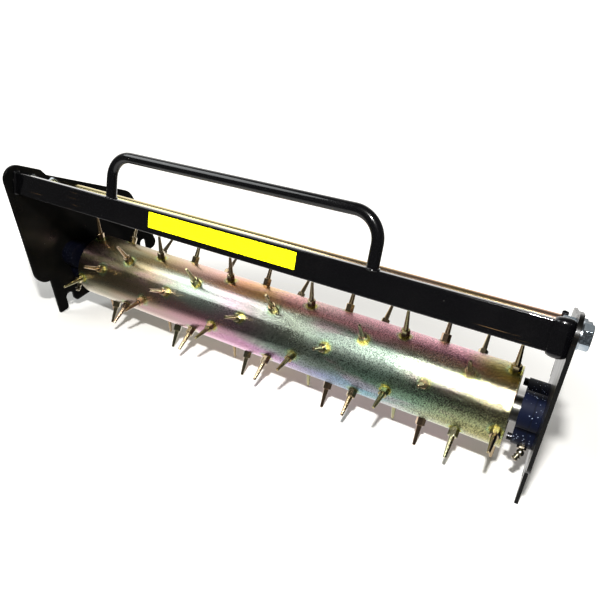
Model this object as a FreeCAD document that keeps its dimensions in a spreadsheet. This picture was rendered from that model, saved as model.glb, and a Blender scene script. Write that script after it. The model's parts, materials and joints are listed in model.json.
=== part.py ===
import FreeCAD, Part

# Spiker roller cassette for a greens mower: a steel drum studded with solid
# hexagon-based spikes turns between two painted side plates, which a crossbar
# with a carry handle and a tie rod hold apart.
#
# X runs along the drum, +Z is up and -Y is the front. The cassette stands as it is
# parked: on two rows of spikes and on the front feet of its side plates, so the
# plates lean forward about the roller's axis. The frame's pieces are drawn in the
# plates' own directions, from the roller's axis, and their Placements lean them.

import math
import os
import re

import Sketcher

os.makedirs("parts", exist_ok=True)

Vector = FreeCAD.Vector
Rotation = FreeCAD.Rotation
Placement = FreeCAD.Placement
X_AXIS = Vector(1, 0, 0)
Y_AXIS = Vector(0, 1, 0)
Z_AXIS = Vector(0, 0, 1)

doc = FreeCAD.newDocument("spiker_cassette")

# ------------------------------------------------------- driving sizes, mm and degrees

DIMENSIONS = {
    # roller
    "drum_length": 512, "drum_radius": 38, "drum_wall": 4,
    "disc_thick": 10, "disc_recess": 6,
    "shaft_radius": 10, "journal_radius": 8.5, "collar_radius": 12,
    # spikes
    "tine_pitch": 100, "tine_first": 6, "row_count": 12, "row_step": 30, "row_first": -45,
    "tip_reach": 65.55, "hex_flats": 8, "hex_height": 8, "seat_radius": 5.8, "seat_level": 37.5,
    "cone_base": 2.6, "cone_end": 1.5, "blunt_end": 1.25, "blunt_height": 0.6,
    "stud_radius": 3, "stud_root": 34.2, "stud_rise": 2, "bevel_radius": 3.68, "bevel_drop": 2.8,
    # side plates
    "lean": 18, "plate_thick": 3, "plate_gap": 23.5,
    "front_edge": 78.5, "nose_level": 156.5, "hump_end": 33.5, "hump_level": 132.8,
    "step_end": 28.5, "step_level": 125.2, "heel_back": 87.4, "heel_level": 64.2,
    "tail_back": 121.4, "tail_drop": 32.5, "belly_rear": 36, "belly_front": 44,
    "foot_drop": 47.25, "foot_edge": 60.5, "shoulder": 1.2,
    "slot_radius": 5.5, "front_slot": 41.8, "front_slot_drop": 32.5,
    "rear_slot": 93.5, "rear_slot_drop": 17.5,
    "nose_round": 15, "step_round": 3, "heel_round": 24, "tail_round": 9,
    "chin_round": 17, "inner_round": 1.5, "lobe_round": 6, "foot_round": 4,
    # crossbar and carry handle
    "bar_height": 23, "bar_thick": 6, "bar_edge": 1.2, "bar_front": 68.15, "bar_level": 129.4,
    "handle_radius": 5, "handle_span": 274, "handle_rise": 41, "handle_bend": 22,
    # tie rod
    "rod_radius": 6, "rod_back": 4, "rod_level": 97, "rod_thread": 4, "rod_hole_depth": 20,
    "lock_radius": 2.5, "lock_depth": 1.9, "lock_stand": 3.5, "lock_inset": 7,
    # fasteners
    "lug_thread": 5, "lug_flats": 16, "lug_head": 6.4, "lug_nut": 8.4, "lug_tail": 5,
    "lug_front": 53, "lug_level": 126, "lug_spacing": 27, "edge_slope": 27.8,
    "lug_washer": 10, "washer_thick": 2,
    "rod_flats": 13, "rod_head": 5.3, "rod_washer": 8, "thin_washer": 1.6,
    "hole_gap": 0.5, "fit_gap": 0.05,
    # bearing housings
    "housing_radius": 30, "housing_thick": 14, "cover_thick": 3, "flange_thick": 2,
    "ear_radius": 16, "ear_offset": 30, "ear_angle": 135, "ear_thread": 4, "ear_hole_depth": 10,
    "ear_head_radius": 7, "ear_head_depth": 2.5, "ear_socket_flats": 5, "ear_socket_depth": 2,
    "screw_angle": 49, "screw_circle": 25.2, "screw_thread": 2, "screw_head_radius": 3.5,
    "screw_head": 4, "screw_depth": 8, "socket_flats": 3, "socket_depth": 2,
    "race_outside": 20, "race_width": 12, "ball_radius": 3.2, "ball_circle": 14.25,
    "inner_land": 12.3, "outer_land": 16.2, "groove_gap": 0.05, "balls": 8,
    "seal_outside": 15, "seal_gap": 0.3,
    "nipple_angle": 213, "nipple_inset": 7, "nipple_thread": 2.5, "nipple_root": 6,
    "nipple_flats": 7, "nipple_base": 4, "nipple_neck": 2.1, "nipple_rise": 8, "nipple_button": 3.1,
    # blank label
    "label_length": 158, "label_height": 14.5, "label_thick": 0.3, "label_shift": -6, "label_drop": 10,
    # where the roller's axis stands
    "axis_level": 63.64, "axis_back": -1.78,
}

sheet = doc.addObject("Spreadsheet::Sheet", "dims")
for line, (alias, value) in enumerate(DIMENSIONS.items(), start=1):
    sheet.set(f"A{line}", alias)
    sheet.set(f"B{line}", str(value))
    sheet.setAlias(f"B{line}", alias)
doc.recompute()

ALIAS_WORDS = re.compile(r"\b(" + "|".join(DIMENSIONS) + r")\b")


def size(alias):
    return float(sheet.get(alias))


def formula(text):
    """An expression in the document's own syntax, from one written with bare aliases."""
    return ALIAS_WORDS.sub(r"dims.\1", str(text))


def bind(target, formulas):
    for name, text in formulas.items():
        target.setExpression(name, formula(text))


# ------------------------------------------------------- where the pieces stand

LEFT, RIGHT = -1, 1
SIDES = {"left": LEFT, "right": RIGHT}
DRUM_END = size("drum_length") / 2
PLATE_FACE = DRUM_END + size("plate_gap")
ROLLER = Placement(Vector(0, size("axis_back"), size("axis_level")), Rotation())
FRAME = ROLLER * Placement(Vector(), Rotation(X_AXIS, size("lean")))


def facing(side):
    """Turns +Z to point along X, outwards on the given side; local X stays along the plate's Y."""
    across = Vector(side, 0, 0)
    return Rotation(Y_AXIS, across.cross(Y_AXIS), across, "ZXY")


def polar(radius, degrees):
    """A point of the YZ plane, with its angle counted from +Y towards +Z."""
    angle = math.radians(degrees)
    return radius * math.cos(angle), radius * math.sin(angle)


def on_frame(x, y, z, turn=Rotation()):
    return FRAME * Placement(Vector(x, y, z), turn)


def on_roller(x, turn=Rotation()):
    return ROLLER * Placement(Vector(x, 0, 0), turn)


def lug_places():
    """The two lug bolts of a side plate, in a line parallel to its top edge."""
    slope = math.radians(size("edge_slope"))
    for step in (0, size("lug_spacing")):
        yield step * math.cos(slope) - size("lug_front"), size("lug_level") - step * math.sin(slope)


# ------------------------------------------------------- building blocks

nodes = {}


def register(label, item):
    item.Label = label
    nodes[label] = item
    return item


def solid(kind, name, formulas, base=Vector()):
    item = doc.addObject(kind, name)
    bind(item, formulas)
    item.Placement = Placement(base, Rotation())
    return item


def cylinder(name, radius, height, base=Vector()):
    return solid("Part::Cylinder", name, {"Radius": radius, "Height": height}, base)


def fuse(name, items):
    item = doc.addObject("Part::MultiFuse", name)
    item.Shapes = items
    return item


def cut(name, base, tools):
    item = doc.addObject("Part::Cut", name)
    item.Base = base
    item.Tool = tools[0] if len(tools) == 1 else fuse(name + "_tools", tools)
    return item


def group(label, items):
    """Several separate solids of one kind in one node."""
    item = doc.addObject("Part::Compound", label)
    item.Links = items
    return register(label, item)


def ring(name, outside, inside, height):
    """A ring along +Z that stands on the XY plane."""
    body = cylinder(name + "_outside", outside, height)
    bore = cylinder(name + "_bore", inside, f"{height} + 2", Vector(0, 0, -1))
    return cut(name, body, [bore])


def hexagon(name, flats, height):
    """A hexagonal head along +Z, its outer corners bevelled at 30 degrees."""
    prism = doc.addObject("Part::Prism", name + "_prism")
    prism.Polygon = 6
    bind(prism, {"Circumradius": f"{flats} / sqrt(3)", "Height": height})
    bevel = solid("Part::Cone", name + "_bevel", {
        "Radius1": f"{flats} / 2 + {height} * sqrt(3)",
        "Radius2": f"{flats} / 2",
        "Height": height,
    })
    item = doc.addObject("Part::Common", name)
    item.Base = prism
    item.Tool = bevel
    return item


def hex_bolt(name, flats, head, thread, reach):
    """A bolt whose head stands on the XY plane and whose shank runs down from it."""
    shank = cylinder(name + "_shank", thread, f"{reach} + {head} / 2")
    bind(shank, {"Placement.Base.z": f"-({reach})"})
    return fuse(name, [hexagon(name + "_head", flats, head), shank])


def hex_nut(name, flats, height, thread):
    hole = cylinder(name + "_thread", f"{thread} + fit_gap", f"{height} + 2", Vector(0, 0, -1))
    return cut(name, hexagon(name + "_body", flats, height), [hole])


def new_body(label):
    body = doc.addObject("PartDesign::Body", label)
    body.AllowCompound = True
    return register(label, body)


def origin_part(body, role):
    return next(item for item in body.Origin.OriginFeatures if item.Role == role)


def new_sketch(body, name, role, offset=Placement()):
    sketch = body.newObject("Sketcher::SketchObject", name)
    sketch.AttachmentSupport = (origin_part(body, role), [""])
    sketch.MapMode = "FlatFace"
    sketch.AttachmentOffset = offset
    return sketch


def constrain(sketch, name, text, kind, *places):
    """A named constraint that starts from the drawn value and then follows the sheet."""
    if kind == "Radius":
        start = sketch.Geometry[places[0]].Radius
    else:
        point = sketch.getPoint(*places[-2:])
        start = point.x if kind == "DistanceX" else point.y
    number = sketch.addConstraint(Sketcher.Constraint(kind, *places, start))
    sketch.renameConstraint(number, name)
    sketch.setExpression("Constraints." + name, formula(text))


def draw_circle(sketch, name, radius, across="0", up="0"):
    index = sketch.addGeometry(Part.Circle(Vector(1, 1, 0), Z_AXIS, 1), False)
    constrain(sketch, name + "_radius", radius, "Radius", index)
    constrain(sketch, name + "_across", across, "DistanceX", -1, 1, index, 3)
    constrain(sketch, name + "_up", up, "DistanceY", -1, 1, index, 3)


def draw_outline(sketch, points):
    """A closed outline of straight lines through points given as formulas."""
    count = len(points)
    spots = [Vector(10 * math.cos(turn), 10 * math.sin(turn), 0)
             for turn in (2 * math.pi * step / count for step in range(count))]
    lines = [Part.LineSegment(spots[step], spots[(step + 1) % count]) for step in range(count)]
    first = sketch.addGeometry(lines, False)[0]
    for step, (across, up) in enumerate(points):
        last = (step - 1) % count
        sketch.addConstraint(Sketcher.Constraint("Coincident", first + last, 2, first + step, 1))
        constrain(sketch, f"across_{step}", across, "DistanceX", -1, 1, first + step, 1)
        constrain(sketch, f"up_{step}", up, "DistanceY", -1, 1, first + step, 1)


def feature(body, kind, name, profile, formulas, **settings):
    """A PartDesign feature made from a sketch."""
    item = body.newObject("PartDesign::" + kind, name)
    item.Profile = profile
    for key, value in settings.items():
        setattr(item, key, value)
    bind(item, formulas)
    return item


def along_x(shape, spots):
    """Names of the edges parallel to X that stand at the given (y, z) spots."""
    found = []
    for number, edge in enumerate(shape.Edges, start=1):
        start, end = edge.Vertexes[0].Point, edge.Vertexes[-1].Point
        if abs(start.y - end.y) + abs(start.z - end.z) > 0.001 or abs(start.x - end.x) < 0.001:
            continue
        if any(math.hypot(start.y - y, start.z - z) < 0.01 for y, z in spots):
            found.append(f"Edge{number}")
    if len(found) != len(spots):
        raise ValueError(f"found {len(found)} of {len(spots)} edges to round")
    return found


def round_edges(body, name, base, radius, spots):
    doc.recompute()
    item = body.newObject("PartDesign::Fillet", name)
    item.Base = (base, along_x(base.Shape, spots))
    bind(item, {"Radius": radius})
    return item


# ------------------------------------------------------- side plates

SIDE_PLATE_OUTLINE = [
    ("-front_edge", "nose_level"),
    ("-hump_end", "hump_level"),
    ("-step_end", "step_level"),
    ("heel_back", "heel_level"),
    ("tail_back", "-tail_drop"),
    ("rear_slot", "-tail_drop"),
    ("rear_slot", "-belly_rear"),
    ("-front_slot", "-belly_front"),
    ("-front_slot", "-foot_drop"),
    ("-foot_edge", "-foot_drop"),
    ("-foot_edge", "shoulder"),
    ("-front_edge", "shoulder"),
]


def slot_outline(centre, drop):
    """The straight part of a slot that is open at its lower end."""
    half = "slot_radius"
    floor = "-2 * foot_drop"
    return [(f"{centre} - {half}", f"-{drop}"), (f"{centre} + {half}", f"-{drop}"),
            (f"{centre} + {half}", floor), (f"{centre} - {half}", floor)]


def belly_height(y):
    """Level of the plate's lower edge between its two slots."""
    front, rear = -size("front_slot"), size("rear_slot")
    rise = size("belly_front") - size("belly_rear")
    return rise * (y - front) / (rear - front) - size("belly_front")


def make_side_plate(name, side):
    body = new_body(name + "_side_plate")
    outline = new_sketch(body, name + "_plate_outline", "YZ_Plane")
    draw_outline(outline, SIDE_PLATE_OUTLINE)
    blank = feature(body, "Pad", name + "_plate_blank", outline, {"Length": "plate_thick"})

    cutter = {"Type": "ThroughAll", "Reversed": True}
    slots = [("front", "-front_slot", "front_slot_drop"), ("rear", "rear_slot", "rear_slot_drop")]
    for end, centre, drop in slots:
        walls = new_sketch(body, f"{name}_{end}_slot_walls", "YZ_Plane")
        draw_outline(walls, slot_outline(centre, drop))
        feature(body, "Pocket", f"{name}_{end}_slot", walls, {}, **cutter)
        top = new_sketch(body, f"{name}_{end}_slot_round", "YZ_Plane")
        draw_circle(top, "top", "slot_radius", centre, f"-{drop}")
        last = feature(body, "Pocket", f"{name}_{end}_slot_top", top, {}, **cutter)

    half = size("slot_radius")
    front_wall, rear_wall = half - size("front_slot"), size("rear_slot") - half
    belly_corners = [(front_wall, belly_height(front_wall)), (rear_wall, belly_height(rear_wall))]
    rounds = [
        ("nose", "nose_round", [(-size("front_edge"), size("nose_level"))]),
        ("step", "step_round", [(-size("hump_end"), size("hump_level")),
                                (-size("step_end"), size("step_level"))]),
        ("heel", "heel_round", [(size("heel_back"), size("heel_level"))]),
        ("tail", "tail_round", [(size("tail_back"), -size("tail_drop"))]),
        ("chin", "chin_round", [(-size("front_edge"), size("shoulder"))]),
        ("inner", "inner_round", [(-size("foot_edge"), size("shoulder"))]),
        ("lobe", "lobe_round", belly_corners),
        ("foot", "foot_round", [(-size("front_slot") - half, -size("foot_drop")),
                                (size("rear_slot") + half, -size("tail_drop"))]),
    ]
    for word, radius, spots in rounds:
        last = round_edges(body, f"{name}_{word}", last, radius, spots)

    holes = new_sketch(body, name + "_plate_holes", "YZ_Plane")
    draw_circle(holes, "rod", "rod_thread + hole_gap", "rod_back", "rod_level")
    draw_circle(holes, "lug_front", "lug_thread + hole_gap", "-lug_front", "lug_level")
    draw_circle(holes, "lug_rear", "lug_thread + hole_gap",
                "lug_spacing * cos(edge_slope * 1 deg) - lug_front",
                "lug_level - lug_spacing * sin(edge_slope * 1 deg)")
    for word, sign in (("upper", 1), ("lower", -1)):
        draw_circle(holes, "ear_" + word, "ear_thread + hole_gap",
                    f"{sign} * ear_offset * cos(ear_angle * 1 deg)",
                    f"{sign} * ear_offset * sin(ear_angle * 1 deg)")
    feature(body, "Pocket", name + "_plate_drilling", holes, {}, **cutter)

    outer_face = size("plate_thick") if side == RIGHT else 0
    for number, turn in enumerate((0, 180), start=1):
        y, z = polar(size("ear_offset"), size("ear_angle") + turn)
        sink = body.newObject("PartDesign::SubtractiveCone", f"{name}_countersink_{number}")
        bind(sink, {"Radius1": "ear_head_radius", "Radius2": "ear_thread + hole_gap",
                    "Height": "ear_head_depth"})
        sink.Placement = Placement(Vector(outer_face, y, z), facing(-side))

    inner_face = PLATE_FACE if side == RIGHT else -PLATE_FACE - size("plate_thick")
    body.Placement = on_frame(inner_face, 0, 0)


# ------------------------------------------------------- crossbar, handle, label

def bar_point(depth, rise):
    """A point of the crossbar's section: behind its front face and above its middle."""
    base = on_frame(0, -size("bar_front"), size("bar_level")).Base
    return Vector(0, base.y + depth, base.z + rise)


def make_crossbar():
    body = new_body("crossbar")
    section = new_sketch(body, "crossbar_section", "YZ_Plane")
    draw_outline(section, [("0", "-bar_height / 2"), ("bar_thick", "-bar_height / 2"),
                           ("bar_thick", "bar_height / 2"), ("0", "bar_height / 2")])
    bar = feature(body, "Pad", "crossbar_blank", section, {"Length": "drum_length + 2 * plate_gap"})
    half = size("bar_height") / 2
    corners = [(depth, rise) for depth in (0, size("bar_thick")) for rise in (-half, half)]
    round_edges(body, "crossbar_edges", bar, "bar_edge", corners)
    body.Placement = Placement(bar_point(0, 0) - Vector(PLATE_FACE, 0, 0), Rotation())


def make_handle():
    """A bent round bar whose two legs stand on the crossbar's top edge."""
    half, rise, bend = size("handle_span") / 2, size("handle_rise"), size("handle_bend")
    body = new_body("carry_handle")
    path = new_sketch(body, "handle_path", "XZ_Plane")
    left = Part.Circle(Vector(bend - half, rise - bend, 0), Z_AXIS, bend)
    right = Part.Circle(Vector(half - bend, rise - bend, 0), Z_AXIS, bend)
    path.addGeometry([
        Part.LineSegment(Vector(-half, 0, 0), Vector(-half, rise - bend, 0)),
        Part.ArcOfCircle(left, math.pi / 2, math.pi),
        Part.LineSegment(Vector(bend - half, rise, 0), Vector(half - bend, rise, 0)),
        Part.ArcOfCircle(right, 0, math.pi / 2),
        Part.LineSegment(Vector(half, rise - bend, 0), Vector(half, 0, 0)),
    ], False)
    for joint in ((0, 2, 1, 2), (1, 1, 2, 1), (2, 2, 3, 2), (3, 1, 4, 1)):
        path.addConstraint(Sketcher.Constraint("Coincident", *joint))
    for line, point, across, up in (
        (0, 1, "-handle_span / 2", "0"),
        (0, 2, "-handle_span / 2", "handle_rise - handle_bend"),
        (2, 1, "handle_bend - handle_span / 2", "handle_rise"),
        (2, 2, "handle_span / 2 - handle_bend", "handle_rise"),
        (4, 1, "handle_span / 2", "handle_rise - handle_bend"),
        (4, 2, "handle_span / 2", "0"),
    ):
        constrain(path, f"across_{line}_{point}", across, "DistanceX", -1, 1, line, point)
        constrain(path, f"up_{line}_{point}", up, "DistanceY", -1, 1, line, point)
    constrain(path, "left_centre", "handle_bend - handle_span / 2", "DistanceX", -1, 1, 1, 3)
    constrain(path, "right_centre", "handle_span / 2 - handle_bend", "DistanceX", -1, 1, 3, 3)
    section = new_sketch(body, "handle_section", "XY_Plane")
    draw_circle(section, "bar", "handle_radius", "-handle_span / 2")
    feature(body, "AdditivePipe", "handle_bar", section, {}, Spine=path)
    foot = bar_point(size("bar_thick") / 2, size("bar_height") / 2)
    body.Placement = Placement(foot, Rotation())


def make_label():
    item = solid("Part::Box", "blank_label", {
        "Length": "label_length", "Width": "label_thick", "Height": "label_height"})
    corner = bar_point(-size("label_thick"), size("bar_height") / 2 - size("label_drop"))
    corner += Vector(size("label_shift") - size("label_length") / 2, 0, -size("label_height") / 2)
    item.Placement = Placement(corner, Rotation())
    register("blank_label", item)


# ------------------------------------------------------- tie rod and frame fasteners

def make_tie_rod():
    """A round bar between the plates, drilled at both ends for its bolts."""
    bar = cylinder("tie_rod_bar", "rod_radius", "drum_length + 2 * plate_gap")
    holes = [cylinder("tie_rod_near_hole", "rod_thread + fit_gap", "rod_hole_depth + 1", Vector(0, 0, -1)),
             cylinder("tie_rod_far_hole", "rod_thread + fit_gap", "rod_hole_depth + 1")]
    bind(holes[1], {"Placement.Base.z": "drum_length + 2 * plate_gap - rod_hole_depth"})
    screw_hole = cylinder("tie_rod_lock_hole", "lock_radius + fit_gap", "rod_radius")
    screw_hole.Placement = Placement(
        Vector(0, size("rod_radius") - size("lock_depth"), 2 * PLATE_FACE - size("lock_inset")),
        Rotation(X_AXIS, -90))
    rod = register("tie_rod", cut("tie_rod", bar, holes + [screw_hole]))
    rod.Placement = on_frame(-PLATE_FACE, size("rod_back"), size("rod_level"), facing(RIGHT))


def make_lock_screw():
    """A grub screw that stands a little proud of the tie rod, with a hexagon socket."""
    height = "lock_depth + lock_stand"
    screw = cylinder("lock_screw_body", "lock_radius", height)
    socket = solid("Part::Prism", "lock_screw_socket", {
        "Circumradius": "socket_flats / sqrt(3)", "Height": "socket_depth + 1",
        "Placement.Base.z": f"{height} - socket_depth"})
    item = register("tie_rod_lock_screw", cut("lock_screw", screw, [socket]))
    floor = size("rod_level") + size("rod_radius") - size("lock_depth")
    item.Placement = on_frame(PLATE_FACE - size("lock_inset"), size("rod_back"), floor)


def make_rod_bolts():
    plate_back = PLATE_FACE + size("plate_thick")
    y, z = size("rod_back"), size("rod_level")
    bolts, washers = [], []
    reach = "plate_thick + thin_washer + rod_hole_depth - 2"
    for name, side in SIDES.items():
        washer = ring(name + "_rod_washer", "rod_washer", "rod_thread + fit_gap", "thin_washer")
        washer.Placement = on_frame(side * plate_back, y, z, facing(side))
        washers.append(washer)
        bolt = hex_bolt(name + "_rod_bolt", "rod_flats", "rod_head", "rod_thread", reach)
        bolt.Placement = on_frame(side * (plate_back + size("thin_washer")), y, z, facing(side))
        bolts.append(bolt)
    group("tie_rod_bolts", bolts)
    group("tie_rod_washers", washers)


def make_lug_bolts(name, side):
    """Two bolts through the plate: heads and washers outside, nuts inside."""
    bolts, washers, nuts = [], [], []
    reach = "washer_thick + plate_thick + lug_nut + lug_tail"
    outside = PLATE_FACE + size("plate_thick")
    for number, (y, z) in enumerate(lug_places(), start=1):
        stem = f"{name}_lug_{number}"
        washer = ring(stem + "_washer", "lug_washer", "lug_thread + fit_gap", "washer_thick")
        washer.Placement = on_frame(side * outside, y, z, facing(side))
        washers.append(washer)
        bolt = hex_bolt(stem + "_bolt", "lug_flats", "lug_head", "lug_thread", reach)
        bolt.Placement = on_frame(side * (outside + size("washer_thick")), y, z, facing(side))
        bolts.append(bolt)
        nut = hex_nut(stem + "_nut", "lug_flats", "lug_nut", "lug_thread")
        nut.Placement = on_frame(side * PLATE_FACE, y, z, facing(-side))
        nuts.append(nut)
    group(name + "_lug_bolts", bolts)
    group(name + "_lug_washers", washers)
    group(name + "_lug_nuts", nuts)


# ------------------------------------------------------- bearing housings

def around_housing(side, angle):
    """An angle of the plate as a piece sees it that is drawn to face the drum."""
    return angle if side == LEFT else -angle


def housing_shape(name, side, height):
    """A round boss with two ears, along +Z."""
    boss = cylinder(name + "_boss", "housing_radius", height)
    angle = around_housing(side, size("ear_angle"))
    pieces = [boss]
    for number, turn in enumerate((angle, angle + 180), start=1):
        y, z = polar(size("ear_offset"), turn)
        pieces.append(cylinder(f"{name}_ear_{number}", "ear_radius", height, Vector(y, z, 0)))
    bridge = solid("Part::Box", name + "_bridge", {
        "Length": "2 * ear_offset", "Width": "2 * ear_radius", "Height": height})
    y, z = polar(size("ear_offset"), angle + 180)
    across, up = polar(size("ear_radius"), angle - 90)
    bridge.Placement = Placement(Vector(y + across, z + up, 0), Rotation(Z_AXIS, angle))
    pieces.append(bridge)
    return fuse(name + "_shape", pieces)


def holes_around(name, side, circle, angle, radius, depth, base):
    """Two holes opposite each other, drilled along +Z from the given level."""
    turn = around_housing(side, size(angle))
    tools = []
    for number, degrees in enumerate((turn, turn + 180), start=1):
        y, z = polar(size(circle), degrees)
        tools.append(cylinder(f"{name}_{number}", radius, depth, Vector(y, z, base)))
    return tools


def make_housing(name, side):
    stem = name + "_housing"
    body = housing_shape(stem, side, "housing_thick")
    pocket = cylinder(stem + "_pocket", "race_outside", "housing_thick", Vector(0, 0, size("flange_thick")))
    opening = cylinder(stem + "_opening", "seal_outside", "housing_thick + 2", Vector(0, 0, -1))
    ears = holes_around(stem + "_ear_hole", side, "ear_offset", "ear_angle",
                        "ear_thread + fit_gap", "ear_hole_depth + 1", -1)
    screws = holes_around(stem + "_screw_hole", side, "screw_circle", "screw_angle",
                          "screw_thread + fit_gap", "screw_depth + 1",
                          size("housing_thick") - size("screw_depth"))
    nipple_hole = cylinder(stem + "_nipple_hole", "nipple_thread + fit_gap", "housing_radius")
    turn = around_housing(side, size("nipple_angle"))
    y, z = polar(1, turn)
    nipple_hole.Placement = Placement(
        Vector(y, z, 0) * (size("race_outside") - 1) + Z_AXIS * size("nipple_inset"),
        Rotation(Z_AXIS, Vector(y, z, 0)))
    item = cut(stem, body, [pocket, opening, nipple_hole] + ears + screws)
    item.Placement = on_frame(side * PLATE_FACE, 0, 0, facing(-side))
    register(name + "_bearing_housing", item)


def make_cover(name, side):
    stem = name + "_cover"
    body = housing_shape(stem, side, "cover_thick")
    seat = cylinder(stem + "_seat", "seal_outside", "cover_thick + 2", Vector(0, 0, -1))
    screws = holes_around(stem + "_hole", side, "screw_circle", "screw_angle",
                          "screw_thread + fit_gap", "cover_thick + 2", -1)
    item = cut(stem, body, [seat] + screws)
    item.Placement = on_frame(side * (PLATE_FACE - size("housing_thick")), 0, 0, facing(-side))
    register(name + "_bearing_cover", item)


def make_cover_screws(name, side):
    """Socket screws whose heads stand on the cover's face."""
    screws = []
    face = PLATE_FACE - size("housing_thick") - size("cover_thick")
    for number, turn in enumerate((0, 180), start=1):
        stem = f"{name}_cover_screw_{number}"
        shank = cylinder(stem + "_shank", "screw_thread", "cover_thick + screw_depth + screw_head / 2")
        bind(shank, {"Placement.Base.z": "-(cover_thick + screw_depth - 1)"})
        head = cylinder(stem + "_head", "screw_head_radius", "screw_head")
        socket = solid("Part::Prism", stem + "_socket", {
            "Circumradius": "socket_flats / sqrt(3)", "Height": "socket_depth + 1",
            "Placement.Base.z": "screw_head - socket_depth"})
        screw = cut(stem, fuse(stem + "_solid", [head, shank]), [socket])
        y, z = polar(size("screw_circle"), size("screw_angle") + turn)
        screw.Placement = on_frame(side * face, y, z, facing(-side))
        screws.append(screw)
    group(name + "_cover_screws", screws)


def make_housing_screws(name, side):
    """Countersunk screws, flush with the plate's outer face, into the housing's ears."""
    screws = []
    for number, turn in enumerate((0, 180), start=1):
        stem = f"{name}_housing_screw_{number}"
        head = solid("Part::Cone", stem + "_head", {
            "Radius1": "ear_head_radius", "Radius2": "ear_thread + hole_gap", "Height": "ear_head_depth"})
        shank = cylinder(stem + "_shank", "ear_thread", "plate_thick + ear_hole_depth - 2",
                         Vector(0, 0, 1))
        socket = solid("Part::Prism", stem + "_socket", {
            "Circumradius": "ear_socket_flats / sqrt(3)", "Height": "ear_socket_depth + 1",
            "Placement.Base.z": "-1"})
        screw = cut(stem, fuse(stem + "_solid", [head, shank]), [socket])
        y, z = polar(size("ear_offset"), size("ear_angle") + turn)
        screw.Placement = on_frame(side * (PLATE_FACE + size("plate_thick")), y, z, facing(-side))
        screws.append(screw)
    group(name + "_housing_screws", screws)


def make_grease_nipple(name, side):
    """A button-headed nipple on a hexagon, screwed into the housing's rim."""
    stem = name + "_nipple"
    thread = cylinder(stem + "_thread", "nipple_thread", "nipple_root + nipple_base / 2")
    bind(thread, {"Placement.Base.z": "-nipple_root"})
    flats = hexagon(stem + "_flats", "nipple_flats", "nipple_base")
    stalk = cylinder(stem + "_neck", "nipple_neck", "nipple_rise")
    button = solid("Part::Sphere", stem + "_button", {
        "Radius": "nipple_button", "Placement.Base.z": "nipple_rise"})
    item = register(name + "_grease_nipple", fuse(stem, [thread, flats, stalk, button]))
    y, z = polar(1, size("nipple_angle"))
    x = side * (PLATE_FACE - size("nipple_inset"))
    foot = size("housing_radius")
    item.Placement = on_frame(x, foot * y, foot * z, Rotation(Z_AXIS, Vector(0, y, z)))


def make_race(label, outside, inside, side, place):
    """One ring of a ball bearing, with the balls' groove turned in it."""
    blank = ring(label + "_blank", outside, inside, "race_width")
    groove = solid("Part::Torus", label + "_groove", {
        "Radius1": "ball_circle", "Radius2": "ball_radius + groove_gap",
        "Placement.Base.z": "race_width / 2"})
    item = register(label, cut(label + "_ring", blank, [groove]))
    item.Placement = place(side)


def bearing_place_on_frame(side):
    return on_frame(side * (PLATE_FACE - size("flange_thick")), 0, 0, facing(-side))


def bearing_place_on_roller(side):
    return on_roller(side * (PLATE_FACE - size("flange_thick")), facing(-side))


def make_balls(name, side):
    balls = []
    count = int(size("balls"))
    for number in range(count):
        y, z = polar(size("ball_circle"), 360 * number / count)
        ball = doc.addObject("Part::Sphere", f"{name}_ball_{number + 1}")
        bind(ball, {"Radius": "ball_radius"})
        middle = PLATE_FACE - size("flange_thick") - size("race_width") / 2
        ball.Placement = ROLLER * Placement(Vector(side * middle, y, z), Rotation())
        balls.append(ball)
    group(name + "_bearing_balls", balls)


def make_seal(name, side):
    item = ring(name + "_seal_ring", "seal_outside", "collar_radius + seal_gap", "cover_thick")
    item.Placement = on_frame(side * (PLATE_FACE - size("housing_thick")), 0, 0, facing(-side))
    register(name + "_shaft_seal", item)


# ------------------------------------------------------- roller

def tine_rows():
    """Number, angle, first place and count of spikes of every row, which climb by a third of a pitch."""
    pitch = size("tine_pitch")
    for row in range(1, int(size("row_count")) + 1):
        shift = (3 - row) % 3
        angle = size("row_first") + size("row_step") * (row - 1)
        first = size("tine_first") + shift * pitch / 3
        yield row, angle, first, 5 if shift else 6


def make_drum():
    """The tube, with a seat and a hole for every spike."""
    body = new_body("drum_tube")
    section = new_sketch(body, "drum_section", "YZ_Plane")
    draw_circle(section, "outside", "drum_radius")
    draw_circle(section, "inside", "drum_radius - drum_wall")
    feature(body, "Pad", "drum_blank", section, {"Length": "drum_length"})
    seats_per_turn = 4
    top = size("drum_radius") + 1
    repeated = slice(0, int(size("row_count")) // seats_per_turn)
    for row, angle, first, count in list(tine_rows())[repeated]:
        turn = Rotation(X_AXIS, angle)
        offset = Placement(turn.multVec(Vector(0, 0, top)) + Vector(first, 0, 0), turn)
        originals = []
        for word, radius, depth in (("seat", "seat_radius", "drum_radius + 1 - seat_level"),
                                    ("hole", "stud_radius + fit_gap", "drum_wall + 2")):
            sketch = new_sketch(body, f"{word}_sketch_{row}", "XY_Plane", offset)
            draw_circle(sketch, word, radius)
            originals.append(feature(body, "Pocket", f"{word}_{row}", sketch, {"Length": depth}))
        pattern = body.newObject("PartDesign::MultiTransform", f"spike_places_{row}")
        line = body.newObject("PartDesign::LinearPattern", f"spike_line_{row}")
        circle = body.newObject("PartDesign::PolarPattern", f"spike_circle_{row}")
        line.Direction = (origin_part(body, "X_Axis"), [""])
        line.Occurrences = count
        bind(line, {"Length": f"{count - 1} * tine_pitch"})
        circle.Axis = (origin_part(body, "X_Axis"), [""])
        circle.Occurrences = seats_per_turn
        circle.Angle = 360
        pattern.Originals = originals
        pattern.Transformations = [line, circle]
        body.Tip = pattern
    body.Placement = on_roller(-DRUM_END)


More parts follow.
